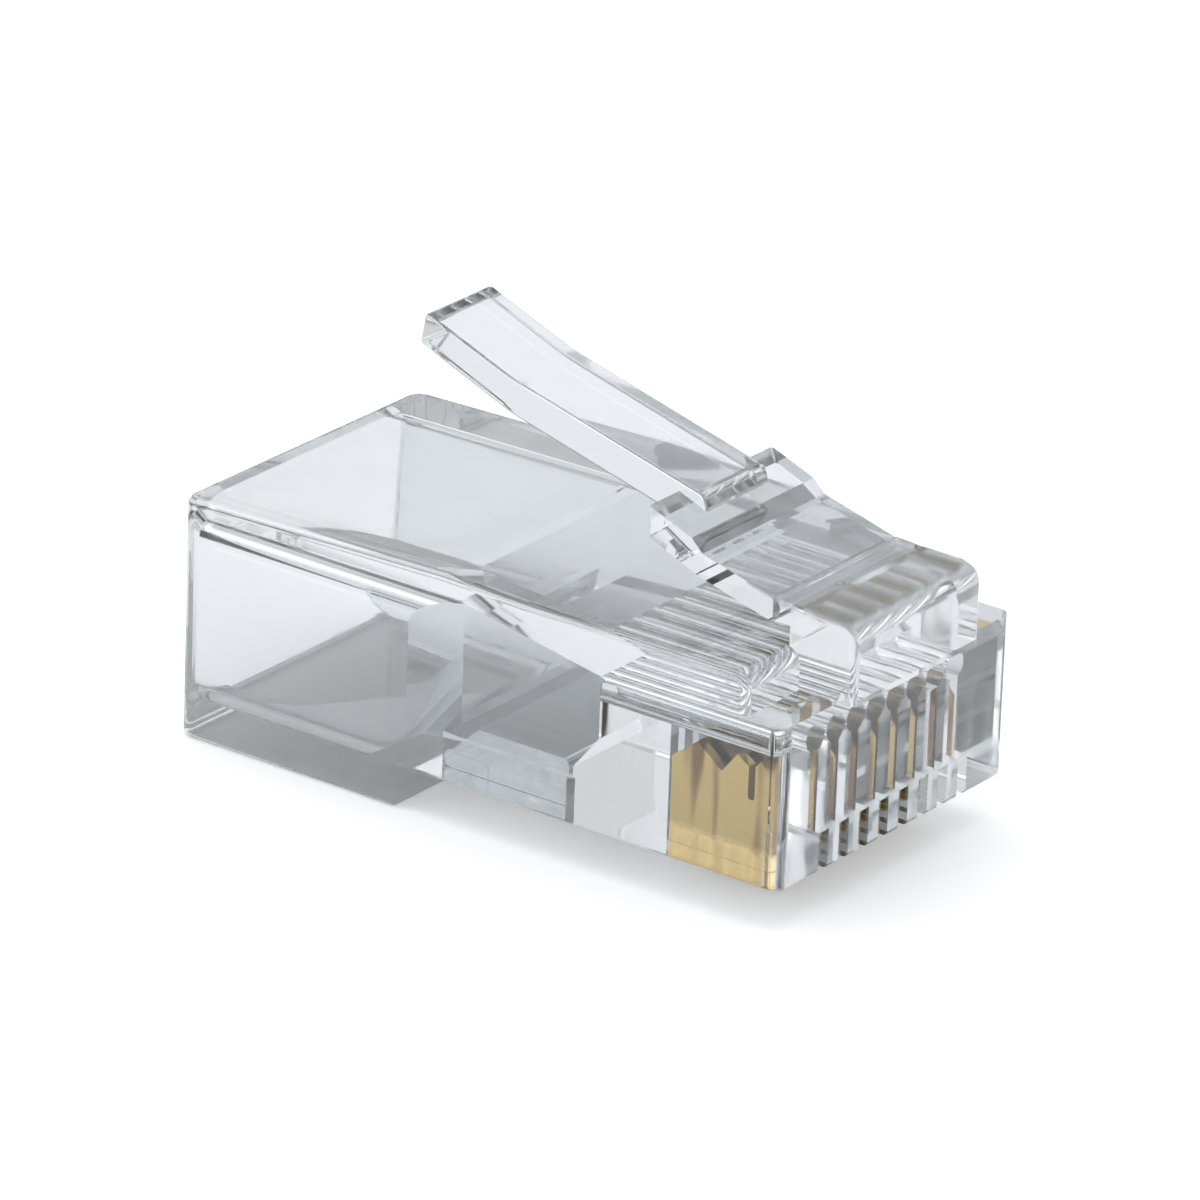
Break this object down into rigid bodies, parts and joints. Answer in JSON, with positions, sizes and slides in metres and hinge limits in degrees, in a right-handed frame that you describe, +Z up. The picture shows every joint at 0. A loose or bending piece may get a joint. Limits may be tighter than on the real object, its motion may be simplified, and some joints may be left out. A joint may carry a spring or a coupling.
{
  "type": "modular plug",
  "caption": "Clear eight-position modular cable plug with a finger latch, a jacket clamp and a row of gold contact blades.",
  "frame": {"origin": "middle of the overall length and width, at the level of the rear block's underside", "axes": "+X along the plug towards the nose that goes into the jack, +Z up to the latch side, +Y across"},
  "size_m": [0.0232, 0.0116, 0.0141],
  "materials": {
    "clear_moulding": "clear gloss",
    "gold_plate": "polished gold plate"
  },
  "bodies": {
    "housing": {"housing": "clear_moulding"},
    "latch": {"latch": "clear_moulding"},
    "jacket_clamp": {"jacket_clamp": "clear_moulding"},
    "contact_1": {"contact_1": "gold_plate"},
    "contact_2": {"contact_2": "gold_plate"},
    "contact_3": {"contact_3": "gold_plate"},
    "contact_4": {"contact_4": "gold_plate"},
    "contact_5": {"contact_5": "gold_plate"},
    "contact_6": {"contact_6": "gold_plate"},
    "contact_7": {"contact_7": "gold_plate"},
    "contact_8": {"contact_8": "gold_plate"}
  },
  "joints": [
    {"name": "latch_press", "type": "hinge", "parent": "housing", "child": "latch", "pos_m": [0.00832, 0, 0.00895], "axis": [0, -1, 0], "range_deg": [0, 14], "stiffness_Nm_per_rad": 0.19},
    {"name": "clamp_press", "type": "hinge", "parent": "housing", "child": "jacket_clamp", "pos_m": [-0.00182, 0, 0.0017], "axis": [0, -1, 0], "range_deg": [0, 18]},
    {"name": "contact_1_crimp", "type": "slide", "parent": "housing", "child": "contact_1", "axis": [0, 0, 1], "range_m": [0, 0.0005]},
    {"name": "contact_2_crimp", "type": "slide", "parent": "housing", "child": "contact_2", "axis": [0, 0, 1], "range_m": [0, 0.0005]},
    {"name": "contact_3_crimp", "type": "slide", "parent": "housing", "child": "contact_3", "axis": [0, 0, 1], "range_m": [0, 0.0005]},
    {"name": "contact_4_crimp", "type": "slide", "parent": "housing", "child": "contact_4", "axis": [0, 0, 1], "range_m": [0, 0.0005]},
    {"name": "contact_5_crimp", "type": "slide", "parent": "housing", "child": "contact_5", "axis": [0, 0, 1], "range_m": [0, 0.0005]},
    {"name": "contact_6_crimp", "type": "slide", "parent": "housing", "child": "contact_6", "axis": [0, 0, 1], "range_m": [0, 0.0005]},
    {"name": "contact_7_crimp", "type": "slide", "parent": "housing", "child": "contact_7", "axis": [0, 0, 1], "range_m": [0, 0.0005]},
    {"name": "contact_8_crimp", "type": "slide", "parent": "housing", "child": "contact_8", "axis": [0, 0, 1], "range_m": [0, 0.0005]}
  ],
  "couplings": [
    {"joint": "contact_2_crimp", "follows": "contact_1_crimp", "ratio": 1},
    {"joint": "contact_3_crimp", "follows": "contact_1_crimp", "ratio": 1},
    {"joint": "contact_4_crimp", "follows": "contact_1_crimp", "ratio": 1},
    {"joint": "contact_5_crimp", "follows": "contact_1_crimp", "ratio": 1},
    {"joint": "contact_6_crimp", "follows": "contact_1_crimp", "ratio": 1},
    {"joint": "contact_7_crimp", "follows": "contact_1_crimp", "ratio": 1},
    {"joint": "contact_8_crimp", "follows": "contact_1_crimp", "ratio": 1}
  ]
}
